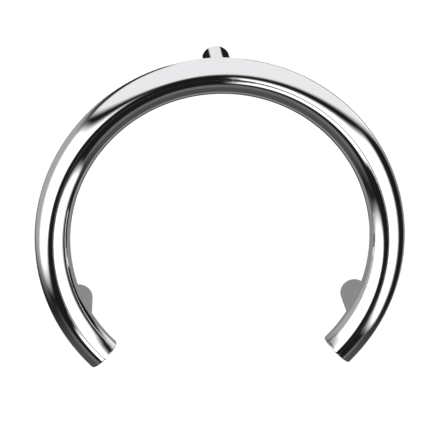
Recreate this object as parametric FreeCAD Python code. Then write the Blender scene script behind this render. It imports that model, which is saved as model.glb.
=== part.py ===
import FreeCAD
import Part

import math
import os

# A C-shaped grab ring that stands off a wall on three short posts.
#
# Row frame: +Z is up and +Y points into the wall. The wall is the plane Y = 0, and the origin is
# the centre of the circle that the three wall screws lie on. Lengths are in millimetres, and
# angles are in degrees, counted from +X towards +Z as seen from the front.

# Ring
TUBE_OD = 31.8
TUBE_WALL = 1.5
RING_RADIUS = 150.0  # to the tube's centreline
STAND_OFF = 72.0  # from the wall to the tube's centreline
END_BELOW = 44.0  # how far below horizontal the joint with each end cap lies

# End caps
CAP_RIM = 2.0  # height of the cap's straight rim outside the tube
CAP_EDGE = 1.0  # rounding between the rim and the face
CAP_CROWN = 0.5  # how far the face bulges
CAP_SPIGOT = 6.0  # length inside the tube, short because the tube bends away from it
CAP_SPIGOT_WALL = 2.0
CAP_FIT = 0.25  # radial gap between the spigot and the tube's end, filled with glue

# Posts
POST_ANGLES = {"top": 90.0, "left": 210.0, "right": -30.0}
POST_OD = 26.0
POST_BORE = 20.0
POST_CHAMFER = 0.4

# Wall bosses: the pegs that the posts slip over
BOSS_FIT = 0.05  # radial gap between a boss and its post
BOSS_FRONT = 34.0  # from the wall to the boss's free end
BOSS_CHAMFER = 1.0
SCREW_HOLE = 6.6  # clearance hole for a 6 mm wall screw
HEAD_BORE = 13.5  # counterbore for the wall screw's head
HEAD_SEAT = 17.0  # from the wall to the seat under the head
FLAT_DEPTH = 1.05  # flat under the boss, where the set screw bears
FLAT_START = 8.5  # from the wall to the flat's closed end

# Seals and washers
GASKET = 2.0  # thickness of the seal between a boss and the wall
GASKET_INSET = 0.1
O_RING_Y = 4.6  # from the wall to the O-ring's centre
O_RING_SECTION = 1.48
GROOVE_WIDTH = 2.2
GROOVE_DEPTH = 1.55
WASHER = 1.2
WASHER_OD = 13.0

# Set screws, which clamp the posts to the bosses from below
SET_Y = 12.0  # from the wall to the screw's axis
SET_HOLE = 5.0
SET_FIT = 0.05
SET_PITCH = 0.8
SET_THREAD = 0.4  # depth of a thread groove
SET_LENGTH = 3.9
SET_POINT = 0.5
SET_GAP = 0.05  # between the screw's point and the flat
HEX_FLATS = 2.5
HEX_DEPTH = 2.0

TUBE_RADIUS = TUBE_OD / 2
BORE_RADIUS = TUBE_RADIUS - TUBE_WALL
BOSS_RADIUS = POST_BORE / 2 - BOSS_FIT
FLAT_RADIUS = BOSS_RADIUS - FLAT_DEPTH
RING_CENTRE = FreeCAD.Vector(0, -STAND_OFF, 0)
INTO_WALL = FreeCAD.Vector(0, 1, 0)
OUT_OF_WALL = FreeCAD.Vector(0, -1, 0)
DOWN = FreeCAD.Vector(0, 0, -1)


def radial(angle):
    """Unit vector from the ring's centre towards an angle."""
    turn = math.radians(angle)
    return FreeCAD.Vector(math.cos(turn), 0, math.sin(turn))


def tangent(angle):
    """Unit vector along the ring, towards a growing angle."""
    return radial(angle + 90)


def placed(shape, origin, axis):
    """A shape turned about +Z, moved so that its +Z lies along axis and its zero at origin."""
    turn = FreeCAD.Rotation(FreeCAD.Vector(0, 0, 1), axis)
    moved = shape.copy()
    moved.Placement = FreeCAD.Placement(origin, turn)
    return moved


def turned(edges):
    """The solid of revolution, about +Z, of a closed outline in the XZ plane."""
    face = Part.Face(Part.Wire(edges))
    return face.revolve(FreeCAD.Vector(), FreeCAD.Vector(0, 0, 1), 360)


def lathe(points):
    """The solid of revolution, about +Z, of a polygon given as (radius, height) pairs."""
    corners = [FreeCAD.Vector(r, 0, z) for r, z in points]
    return turned([Part.makeLine(a, b) for a, b in zip(corners, corners[1:] + corners[:1])])


def washer_shape(outer, inner, thickness):
    """A flat ring standing on the XY plane."""
    disc = Part.makeCylinder(outer, thickness)
    return disc.cut(Part.makeCylinder(inner, thickness))


def ring_tube():
    """The bent tube, open at both ends."""
    start = -END_BELOW
    centre = RING_CENTRE + radial(start) * RING_RADIUS

    def rod(radius):
        circle = Part.Circle(centre, tangent(start), radius).toShape()
        disc = Part.Face(Part.Wire(circle))
        return disc.revolve(RING_CENTRE, OUT_OF_WALL, 180 + 2 * END_BELOW)

    return rod(TUBE_RADIUS).cut(rod(BORE_RADIUS))


def end_cap(side):
    """A cup-shaped plug that closes one end of the tube, side being +1 on the right."""
    face = CAP_RIM + CAP_EDGE
    spigot = BORE_RADIUS - CAP_FIT
    inner = spigot - CAP_SPIGOT_WALL
    flat = TUBE_RADIUS - CAP_EDGE
    slope = CAP_EDGE * math.sqrt(0.5)

    def at(r, z):
        return FreeCAD.Vector(r, 0, z)

    corners = [
        at(0, 0), at(inner, 0), at(inner, -CAP_SPIGOT), at(spigot, -CAP_SPIGOT),
        at(spigot, 0), at(TUBE_RADIUS, 0), at(TUBE_RADIUS, CAP_RIM),
    ]
    edges = [Part.makeLine(a, b) for a, b in zip(corners, corners[1:])]
    edge_middle = at(flat + slope, CAP_RIM + slope)
    edges.append(Part.Arc(corners[-1], edge_middle, at(flat, face)).toShape())
    top = at(0, face + CAP_CROWN)
    ball = (flat**2 + CAP_CROWN**2) / (2 * CAP_CROWN)
    half = math.asin(flat / ball) / 2
    crown_middle = top + at(ball * math.sin(half), ball * (math.cos(half) - 1))
    edges.append(Part.Arc(at(flat, face), crown_middle, top).toShape())
    edges.append(Part.makeLine(top, corners[0]))
    angle = -END_BELOW if side > 0 else 180 + END_BELOW
    outward = tangent(angle) * -side
    return placed(turned(edges), RING_CENTRE + radial(angle) * RING_RADIUS, outward)


def post_foot(name):
    """The point where a post's axis meets the wall."""
    return radial(POST_ANGLES[name]) * RING_RADIUS


def post(name):
    """A tube from the wall to the back of the ring, coped to fit it, with a set screw hole."""
    radius = POST_OD / 2
    bore = POST_BORE / 2
    profile = [
        (bore + POST_CHAMFER, 0), (radius - POST_CHAMFER, 0), (radius, POST_CHAMFER),
        (radius, STAND_OFF), (bore, STAND_OFF), (bore, POST_CHAMFER),
    ]
    foot = post_foot(name)
    blank = placed(lathe(profile), foot, OUT_OF_WALL)
    ring = Part.makeTorus(RING_RADIUS, TUBE_RADIUS, RING_CENTRE, INTO_WALL)
    hole_top = foot + OUT_OF_WALL * SET_Y
    hole = Part.makeCylinder(SET_HOLE / 2, POST_OD, hole_top, DOWN)
    return blank.cut(ring).cut(hole)


def boss(name):
    """The peg on the wall: counterbored, grooved near the wall and flattened underneath."""
    hole = SCREW_HOLE / 2
    head = HEAD_BORE / 2
    groove_near = O_RING_Y - GROOVE_WIDTH / 2
    groove_far = O_RING_Y + GROOVE_WIDTH / 2
    groove_floor = BOSS_RADIUS - GROOVE_DEPTH
    profile = [
        (hole, GASKET), (BOSS_RADIUS, GASKET), (BOSS_RADIUS, groove_near),
        (groove_floor, groove_near), (groove_floor, groove_far), (BOSS_RADIUS, groove_far),
        (BOSS_RADIUS, BOSS_FRONT - BOSS_CHAMFER), (BOSS_RADIUS - BOSS_CHAMFER, BOSS_FRONT),
        (head, BOSS_FRONT), (head, HEAD_SEAT), (hole, HEAD_SEAT),
    ]
    foot = post_foot(name)
    peg = placed(lathe(profile), foot, OUT_OF_WALL)
    half = BOSS_RADIUS + 1
    corner = foot + FreeCAD.Vector(-half, -BOSS_FRONT - 1, -FLAT_RADIUS - half)
    flat = Part.makeBox(2 * half, BOSS_FRONT + 1 - FLAT_START, half, corner)
    return peg.cut(flat)


def wall_gasket(name):
    """The rubber disc between a boss and the wall."""
    disc = washer_shape(BOSS_RADIUS - GASKET_INSET, SCREW_HOLE / 2, GASKET)
    return placed(disc, post_foot(name), OUT_OF_WALL)


def o_ring(name):
    """The ring in a boss's groove, which takes up the play in the post."""
    middle = BOSS_RADIUS - O_RING_SECTION / 2
    centre = post_foot(name) + OUT_OF_WALL * O_RING_Y
    return Part.makeTorus(middle, O_RING_SECTION / 2, centre, INTO_WALL)


def head_washer(name):
    """The washer on the seat inside a boss, which the wall screw's head presses on."""
    disc = washer_shape(WASHER_OD / 2, SCREW_HOLE / 2, WASHER)
    return placed(disc, post_foot(name) + OUT_OF_WALL * HEAD_SEAT, OUT_OF_WALL)


def set_screw(name):
    """A headless screw with ring grooves for its thread and a hexagon socket in its outer end."""
    radius = SET_HOLE / 2 - SET_FIT
    root = radius - SET_THREAD
    profile = [(0, 0), (radius - SET_POINT, 0), (radius, SET_POINT)]
    turns = int((SET_LENGTH - SET_POINT) / SET_PITCH)
    for turn in range(turns):
        crest = SET_POINT + turn * SET_PITCH
        profile += [(root, crest + SET_PITCH / 2), (radius, crest + SET_PITCH)]
    profile += [(radius, SET_LENGTH), (0, SET_LENGTH)]
    reach = HEX_FLATS / 2 / math.cos(math.radians(30))
    sides = [math.radians(60 * k) for k in range(7)]
    floor = SET_LENGTH - HEX_DEPTH
    outline = [FreeCAD.Vector(reach * math.cos(a), reach * math.sin(a), floor) for a in sides]
    socket = Part.Face(Part.makePolygon(outline)).extrude(FreeCAD.Vector(0, 0, HEX_DEPTH))
    tip = post_foot(name) + OUT_OF_WALL * SET_Y + DOWN * (FLAT_RADIUS + SET_GAP)
    return placed(lathe(profile).cut(socket), tip, DOWN)


def write(node, shape):
    """Exports one sub-part, after checking that it is one sound solid."""
    solid = shape.Solids[0] if len(shape.Solids) == 1 else shape
    if not solid.isValid() or len(shape.Solids) != 1:
        raise RuntimeError(f"{node} is not one valid solid")
    if solid.Volume < 0:
        solid.reverse()
    solid.exportStep(f"parts/{node}.step")
    print(f"{node:20s} {solid.Volume / 1000:9.3f} cm3")


def main():
    os.makedirs("parts", exist_ok=True)
    write("ring_tube", ring_tube())
    write("end_cap_left", end_cap(-1))
    write("end_cap_right", end_cap(1))
    makers = {
        "post": post,
        "wall_boss": boss,
        "wall_gasket": wall_gasket,
        "o_ring": o_ring,
        "head_washer": head_washer,
        "set_screw": set_screw,
    }
    for name in POST_ANGLES:
        for piece, make in makers.items():
            write(f"{piece}_{name}", make(name))


main()
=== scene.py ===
import math

import bpy
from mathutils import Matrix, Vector


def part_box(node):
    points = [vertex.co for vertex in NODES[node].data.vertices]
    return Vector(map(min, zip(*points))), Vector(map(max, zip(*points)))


# A wall-mounted grab ring in polished chrome, seen from the front and a little above.
# Lengths are in metres and angles in degrees. The wall is the plane Y = 0 and +Z is up.

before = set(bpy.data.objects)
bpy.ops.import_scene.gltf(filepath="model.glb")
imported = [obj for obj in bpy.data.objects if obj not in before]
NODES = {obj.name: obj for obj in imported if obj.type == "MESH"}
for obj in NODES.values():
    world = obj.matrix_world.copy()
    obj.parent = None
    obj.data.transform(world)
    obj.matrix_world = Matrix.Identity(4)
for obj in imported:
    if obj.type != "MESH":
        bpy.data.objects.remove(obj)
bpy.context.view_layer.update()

RING_LOW, RING_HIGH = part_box("ring_tube")
TUBE_R = (RING_HIGH.y - RING_LOW.y) / 2
RING_R = RING_HIGH.x - TUBE_R
RING_CENTRE = Vector((0, (RING_LOW.y + RING_HIGH.y) / 2, 0))
END_BELOW = math.degrees(math.asin(-RING_LOW.z / RING_HIGH.x))  # below horizontal, at each end
SIDES = {"left": -1, "right": 1}
POSTS = ("top", "left", "right")

# Camera, with its place counted from the ring's centre
CAMERA_AZIMUTH = -2.87
CAMERA_ELEVATION = 16.6
CAMERA_DISTANCE = 1.676
CAMERA_ROLL = -0.26
CAMERA_LENS = 156.3  # in millimetres
CAMERA_RANGE = (0.05, 100)
AIM_RIGHT = -0.0048  # the camera aims this far beside and above the ring's centre
AIM_UP = 0.0222

# Stage
FLOOR_DROP = 0.22  # from the ring's centre to the floor
FLOOR_SIZE = 30.0
FLOOR_TONE = 0.9
FLOOR_GLOW = 0.35

# Soft boxes. Each is a brightness and the planes that bound it: (azimuth, elevation) of the
# plane's inward normal, and how many degrees the edge takes to fade.
SOFT_BOXES = {
    "ceiling": (0.92, [(100, 51, 4), (-120, 58, 6), (50, 52, 5)]),
    "left_box": (1.7, [(-95, -59, 5), (-72, 65, 8), (-103, 46, 5), (4, 0, 14)]),
    "left_rear": (0.42, [(-95, -59, 6), (-80, 62, 12), (-176, 0, 14), (-70, 0, 8)]),
    "right_box": (1.7, [(97, -69, 6), (79, 49, 3), (94, 0, 1), (-23, 0, 13)]),
    "right_rear": (0.3, [(97, -69, 7), (-142, 0, 12), (62, 0, 5), (180, 55, 10)]),
    "front_card": (1.7, [(-88, 0, 1), (114, -51, 1), (40, 48, 4)]),
    "rear": (0.85, [(-98, 0, 1), (98.5, 0, 1), (-130, -52, 5), (180, 68, 4)]),
    "table": (0.15, [(180, -43, 5), (-90, -45, 10), (90, -45, 10), (0, 26, 8)]),
    "table_rear": (0.07, [(180, -26, 8), (-90, -45, 10), (90, -45, 10), (0, -45, 10)]),
}
GAP_LEVEL = 0.012  # between the boxes
BACKDROP_LEVEL = 1.0

# A grey flag behind the lower posts, seen only in reflections
FLAG_BEHIND = 0.05  # from the wall plane
FLAG_TOP = -0.03  # from the ring's centre
FLAG_WIDTH = 1.3  # times the ring's own
FLAG_LEVEL = 0.28


def direction(azimuth, elevation):
    """Unit vector, azimuth counted from the front towards +X."""
    a, e = math.radians(azimuth), math.radians(elevation)
    return Vector((math.sin(a) * math.cos(e), -math.cos(a) * math.cos(e), math.sin(e)))


def on_ring(angle, out=0.0):
    """The point of the ring's centreline at an angle counted from +X towards +Z."""
    a = math.radians(angle)
    return RING_CENTRE + Vector((math.cos(a), 0, math.sin(a))) * (RING_R + out)


def along_ring(angle):
    """Unit vector along the ring, towards a growing angle."""
    a = math.radians(angle)
    return Vector((-math.sin(a), 0, math.cos(a)))


# ---------------------------------------------------------------------------------------------
# Node helpers


def feed(tree, value, socket):
    """Sets a socket to a number or a vector, or links another node's output to it."""
    if isinstance(value, bpy.types.NodeSocket):
        tree.links.new(value, socket)
    else:
        socket.default_value = value


def maths(tree, operation, a, b=0.0):
    """A Math node of one or two numbers."""
    node = tree.nodes.new("ShaderNodeMath")
    node.operation = operation
    feed(tree, a, node.inputs[0])
    feed(tree, b, node.inputs[1])
    return node.outputs[0]


def vectors(tree, operation, a, b=(0, 0, 0)):
    """A Vector Math node. Returns its number for a length or a product, else its vector."""
    node = tree.nodes.new("ShaderNodeVectorMath")
    node.operation = operation
    feed(tree, a, node.inputs[0])
    feed(tree, b, node.inputs[1])
    return node.outputs["Value" if operation in ("LENGTH", "DOT_PRODUCT") else "Vector"]


def remap(tree, value, low, high, to_low=0.0, to_high=1.0):
    """A smooth Map Range node."""
    node = tree.nodes.new("ShaderNodeMapRange")
    node.interpolation_type = "SMOOTHSTEP"
    feed(tree, value, node.inputs["Value"])
    node.inputs["From Min"].default_value = low
    node.inputs["From Max"].default_value = high
    node.inputs["To Min"].default_value = to_low
    node.inputs["To Max"].default_value = to_high
    return node.outputs["Result"]


def place(tree):
    """The point being shaded, in metres in the part's own frame."""
    return tree.nodes.new("ShaderNodeTexCoord").outputs["Object"]


def noise(tree, where, size, detail=2.0):
    """Cloudy noise from 0 to 1, with lumps of about the given size."""
    node = tree.nodes.new("ShaderNodeTexNoise")
    feed(tree, where, node.inputs["Vector"])
    node.inputs["Scale"].default_value = 1 / size
    node.inputs["Detail"].default_value = detail
    return node.outputs["Fac"]


def stretched(tree, where, factors):
    """Coordinates scaled along each axis, so that a small factor draws a pattern out."""
    return vectors(tree, "MULTIPLY", where, factors)


def waves(tree, value, pitch):
    """Ridges from 0 to 1 across a length."""
    turn = maths(tree, "MULTIPLY", value, 2 * math.pi / pitch)
    half = maths(tree, "MULTIPLY", maths(tree, "SINE", turn), 0.5)
    return maths(tree, "ADD", half, 0.5)


def from_axis(tree, where, point, axis):
    """Distance from a line."""
    arm = vectors(tree, "SUBTRACT", where, point)
    return vectors(tree, "LENGTH", vectors(tree, "CROSS_PRODUCT", arm, axis))


def blend_colours(tree, factor, dark, light):
    """A Mix node between two colours, whose colour sockets are its inputs 6 and 7 and output 2."""
    node = tree.nodes.new("ShaderNodeMix")
    node.data_type = "RGBA"
    feed(tree, factor, node.inputs["Factor"])
    node.inputs[6].default_value = (*dark, 1)
    node.inputs[7].default_value = (*light, 1)
    return node.outputs[2]


def bump(tree, shader, layers):
    """Stacks height layers, each a (value, depth in metres) pair."""
    normal = None
    for height, depth in layers:
        node = tree.nodes.new("ShaderNodeBump")
        node.inputs["Distance"].default_value = depth
        feed(tree, height, node.inputs["Height"])
        if normal is not None:
            feed(tree, normal, node.inputs["Normal"])
        normal = node.outputs["Normal"]
    feed(tree, normal, shader.inputs["Normal"])


def new_material(name, metallic):
    """A material with a Principled shader, its node tree and that shader."""
    material = bpy.data.materials.new(name)
    material.use_nodes = True
    shader = material.node_tree.nodes["Principled BSDF"]
    shader.inputs["Metallic"].default_value = metallic
    return material, material.node_tree, shader


# ---------------------------------------------------------------------------------------------
# Materials


def ring_run(tree):
    """Coordinates that follow the bent tube: along it, then across it."""
    where = place(tree)
    parts = tree.nodes.new("ShaderNodeSeparateXYZ")
    feed(tree, where, parts.inputs[0])
    x, y, z = parts.outputs
    angle = maths(tree, "ARCTAN2", x, z)
    reach = vectors(tree, "LENGTH", stretched(tree, where, (1, 0, 1)))
    run = tree.nodes.new("ShaderNodeCombineXYZ")
    feed(tree, maths(tree, "MULTIPLY", angle, RING_R), run.inputs[0])
    feed(tree, maths(tree, "SUBTRACT", reach, RING_R), run.inputs[1])
    feed(tree, y, run.inputs[2])
    return run.outputs[0]


CHROME_DARK = (0.85, 0.857, 0.87)
CHROME_LIGHT = (0.885, 0.89, 0.90)
CHROME_RIPPLE = 7e-6  # depth of the slow waves left by polishing
TUBE_HAZE = (0.018, 0.05)  # lowest and highest roughness
FITTING_HAZE = (0.03, 0.07)


def chrome(name, hairs, haze):
    """Bright plate over polished metal. hairs gives the fine polishing lines."""
    material, tree, shader = new_material(name, 1)
    where = place(tree)
    cloud = noise(tree, where, 0.03, 3)
    feed(tree, blend_colours(tree, cloud, CHROME_DARK, CHROME_LIGHT), shader.inputs["Base Color"])
    smears = remap(tree, noise(tree, where, 0.012, 4), 0.35, 0.75, *haze)
    lines = hairs(tree)
    fine = remap(tree, lines, 0.45, 0.8, 0.0, 0.02)
    feed(tree, maths(tree, "ADD", smears, fine), shader.inputs["Roughness"])
    bump(tree, shader, [(noise(tree, where, 0.018, 1), CHROME_RIPPLE), (lines, 4e-7)])
    return material


def tube_hairs(tree):
    """Hair-fine lines that run along the tube."""
    return noise(tree, stretched(tree, ring_run(tree), (0.02, 1, 1)), 0.0006)


def post_hairs(tree):
    """Hair-fine lines that go round a post."""
    return noise(tree, stretched(tree, place(tree), (0.03, 1, 0.03)), 0.0005)


def cap_hairs(side):
    """Hair-fine rings about an end cap's axis."""
    angle = -END_BELOW if side > 0 else 180 + END_BELOW
    point, axis = on_ring(angle), along_ring(angle)

    def hairs(tree):
        reach = from_axis(tree, place(tree), point, axis)
        ring = tree.nodes.new("ShaderNodeCombineXYZ")
        feed(tree, reach, ring.inputs[0])
        return noise(tree, ring.outputs[0], 0.00045)

    return hairs


def turned_steel(post):
    """Stainless steel with the lathe's marks round it."""
    material, tree, shader = new_material(f"turned_steel_{post}", 1)
    low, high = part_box(f"wall_boss_{post}")
    axis_point = (low + high) / 2
    where = place(tree)
    cloud = noise(tree, where, 0.006, 3)
    colour = blend_colours(tree, cloud, (0.50, 0.49, 0.47), (0.66, 0.65, 0.63))
    feed(tree, colour, shader.inputs["Base Color"])
    reach = from_axis(tree, where, axis_point, (0, 1, 0))
    depth = vectors(tree, "DOT_PRODUCT", where, (0, 1, 0))
    feed_marks = waves(tree, maths(tree, "ADD", reach, depth), 0.0003)
    rings = tree.nodes.new("ShaderNodeCombineXYZ")
    feed(tree, reach, rings.inputs[0])
    feed(tree, depth, rings.inputs[1])
    uneven = noise(tree, rings.outputs[0], 0.0004)
    feed(tree, remap(tree, uneven, 0.3, 0.7, 0.22, 0.38), shader.inputs["Roughness"])
    bump(tree, shader, [(feed_marks, 3e-6), (uneven, 4e-6)])
    return material


def plain_steel(name, dark, light, roughness, grain, pits):
    """Stamped or rolled stainless steel with a fine grain and shallow dents."""
    material, tree, shader = new_material(name, 1)
    where = place(tree)
    streaks = noise(tree, stretched(tree, where, (1, 1, 0.12)), grain, 3)
    feed(tree, blend_colours(tree, streaks, dark, light), shader.inputs["Base Color"])
    feed(tree, remap(tree, streaks, 0.3, 0.7, *roughness), shader.inputs["Roughness"])
    bump(tree, shader, [(noise(tree, where, 0.002), pits), (streaks, pits / 4)])
    return material


def rubber(name, dark, light, roughness, grain, depth):
    """Moulded rubber: a fine grain with a little dust on it."""
    material, tree, shader = new_material(name, 0)
    where = place(tree)
    dust = remap(tree, noise(tree, where, 0.004, 4), 0.45, 0.75)
    feed(tree, blend_colours(tree, dust, dark, light), shader.inputs["Base Color"])
    feed(tree, remap(tree, dust, 0, 1, *roughness), shader.inputs["Roughness"])
    shader.inputs["Specular IOR Level"].default_value = 0.35
    bump(tree, shader, [(noise(tree, where, grain, 3), depth)])
    return material


def paint(node, material):
    """Gives a CAD piece its material."""
    piece = NODES[node]
    piece.data.materials.clear()
    piece.data.materials.append(material)


def paint_all():
    """Each post has its own turned steel, because the lathe's marks run round that post's axis."""
    paint("ring_tube", chrome("tube_chrome", tube_hairs, TUBE_HAZE))
    for side, sign in SIDES.items():
        paint(f"end_cap_{side}", chrome(f"cap_chrome_{side}", cap_hairs(sign), FITTING_HAZE))
    post_chrome = chrome("post_chrome", post_hairs, FITTING_HAZE)
    washer = plain_steel(
        "washer_steel", dark=(0.55, 0.55, 0.53), light=(0.7, 0.7, 0.68),
        roughness=(0.22, 0.36), grain=0.0008, pits=8e-6,
    )
    screw = plain_steel(
        "screw_steel", dark=(0.42, 0.42, 0.41), light=(0.58, 0.58, 0.57),
        roughness=(0.26, 0.4), grain=0.0005, pits=5e-6,
    )
    gasket = rubber(
        "gasket_rubber", dark=(0.018, 0.018, 0.019), light=(0.06, 0.06, 0.058),
        roughness=(0.62, 0.85), grain=0.0004, depth=4e-5,
    )
    o_ring = rubber(
        "o_ring_rubber", dark=(0.01, 0.01, 0.011), light=(0.03, 0.03, 0.03),
        roughness=(0.38, 0.55), grain=0.0003, depth=1e-5,
    )
    for post in POSTS:
        paint(f"post_{post}", post_chrome)
        paint(f"wall_boss_{post}", turned_steel(post))
        paint(f"head_washer_{post}", washer)
        paint(f"set_screw_{post}", screw)
        paint(f"wall_gasket_{post}", gasket)
        paint(f"o_ring_{post}", o_ring)


# ---------------------------------------------------------------------------------------------
# Studio


def add_studio():
    """A world of soft boxes with dark gaps between them, on a plain white backdrop."""
    world = bpy.data.worlds.new("studio")
    bpy.context.scene.world = world
    world.use_nodes = True
    tree = world.node_tree
    tree.nodes.clear()
    look = tree.nodes.new("ShaderNodeTexCoord").outputs["Generated"]
    total = GAP_LEVEL
    for level, edges in SOFT_BOXES.values():
        glow = level
        for azimuth, elevation, fade in edges:
            side = vectors(tree, "DOT_PRODUCT", look, direction(azimuth, elevation))
            reach = math.sin(math.radians(fade))
            glow = maths(tree, "MULTIPLY", glow, remap(tree, side, -reach, reach))
        total = maths(tree, "ADD", total, glow)
    studio = tree.nodes.new("ShaderNodeBackground")
    studio.inputs["Color"].default_value = (1, 1, 1, 1)
    feed(tree, total, studio.inputs["Strength"])
    backdrop = tree.nodes.new("ShaderNodeBackground")
    backdrop.inputs["Color"].default_value = (1, 1, 1, 1)
    backdrop.inputs["Strength"].default_value = BACKDROP_LEVEL
    mix = tree.nodes.new("ShaderNodeMixShader")
    feed(tree, tree.nodes.new("ShaderNodeLightPath").outputs["Is Camera Ray"], mix.inputs[0])
    feed(tree, studio.outputs[0], mix.inputs[1])
    feed(tree, backdrop.outputs[0], mix.inputs[2])
    output = tree.nodes.new("ShaderNodeOutputWorld")
    feed(tree, mix.outputs[0], output.inputs["Surface"])


def stage_sheet(name, corners):
    """A flat sheet that belongs to the studio."""
    mesh = bpy.data.meshes.new(name)
    mesh.from_pydata(corners, [], [(0, 1, 2, 3)])
    sheet = bpy.data.objects.new(name, mesh)
    bpy.context.scene.collection.objects.link(sheet)
    return sheet


def add_floor():
    """A plain pale floor, out of the chrome's reflections so that the soft boxes show in it."""
    half = FLOOR_SIZE / 2
    turns = [(-1, -1), (1, -1), (1, 1), (-1, 1)]
    floor = stage_sheet("floor", [(half * x, half * y, -FLOOR_DROP) for x, y in turns])
    material, tree, shader = new_material("pale_floor", 0)
    shader.inputs["Base Color"].default_value = (FLOOR_TONE, FLOOR_TONE, FLOOR_TONE, 1)
    shader.inputs["Roughness"].default_value = 0.9
    shader.inputs["Emission Color"].default_value = (1, 1, 1, 1)
    shader.inputs["Emission Strength"].default_value = FLOOR_GLOW
    floor.data.materials.append(material)
    floor.visible_glossy = False


def add_flag():
    """A grey card behind the lower posts, which only reflections see."""
    half = RING_HIGH.x * FLAG_WIDTH
    edges = [(-half, -FLOOR_DROP), (half, -FLOOR_DROP), (half, FLAG_TOP), (-half, FLAG_TOP)]
    flag = stage_sheet("flag", [(x, FLAG_BEHIND, z) for x, z in edges])
    material = bpy.data.materials.new("grey_flag")
    material.use_nodes = True
    tree = material.node_tree
    tree.nodes.clear()
    glow = tree.nodes.new("ShaderNodeEmission")
    glow.inputs["Strength"].default_value = FLAG_LEVEL
    output = tree.nodes.new("ShaderNodeOutputMaterial")
    feed(tree, glow.outputs[0], output.inputs["Surface"])
    flag.data.materials.append(material)
    flag.visible_camera = False
    flag.visible_diffuse = False
    flag.visible_shadow = False


def add_camera():
    """A long lens from the front and a little above, aimed just beside the ring's centre."""
    back = direction(CAMERA_AZIMUTH, CAMERA_ELEVATION)
    right = Vector((0, 0, 1)).cross(back).normalized()
    up = back.cross(right)
    aim = RING_CENTRE + right * AIM_RIGHT + up * AIM_UP
    data = bpy.data.cameras.new("camera")
    data.lens = CAMERA_LENS
    data.clip_start, data.clip_end = CAMERA_RANGE
    camera = bpy.data.objects.new("camera", data)
    bpy.context.scene.collection.objects.link(camera)
    camera.location = RING_CENTRE + back * CAMERA_DISTANCE
    look = (aim - camera.location).to_track_quat("-Z", "Y")
    camera.rotation_euler = look.to_euler()
    camera.rotation_euler.rotate_axis("Z", math.radians(CAMERA_ROLL))
    bpy.context.scene.camera = camera


bpy.context.scene.view_settings.view_transform = "Standard"
add_camera()
add_studio()
add_floor()
add_flag()
paint_all()
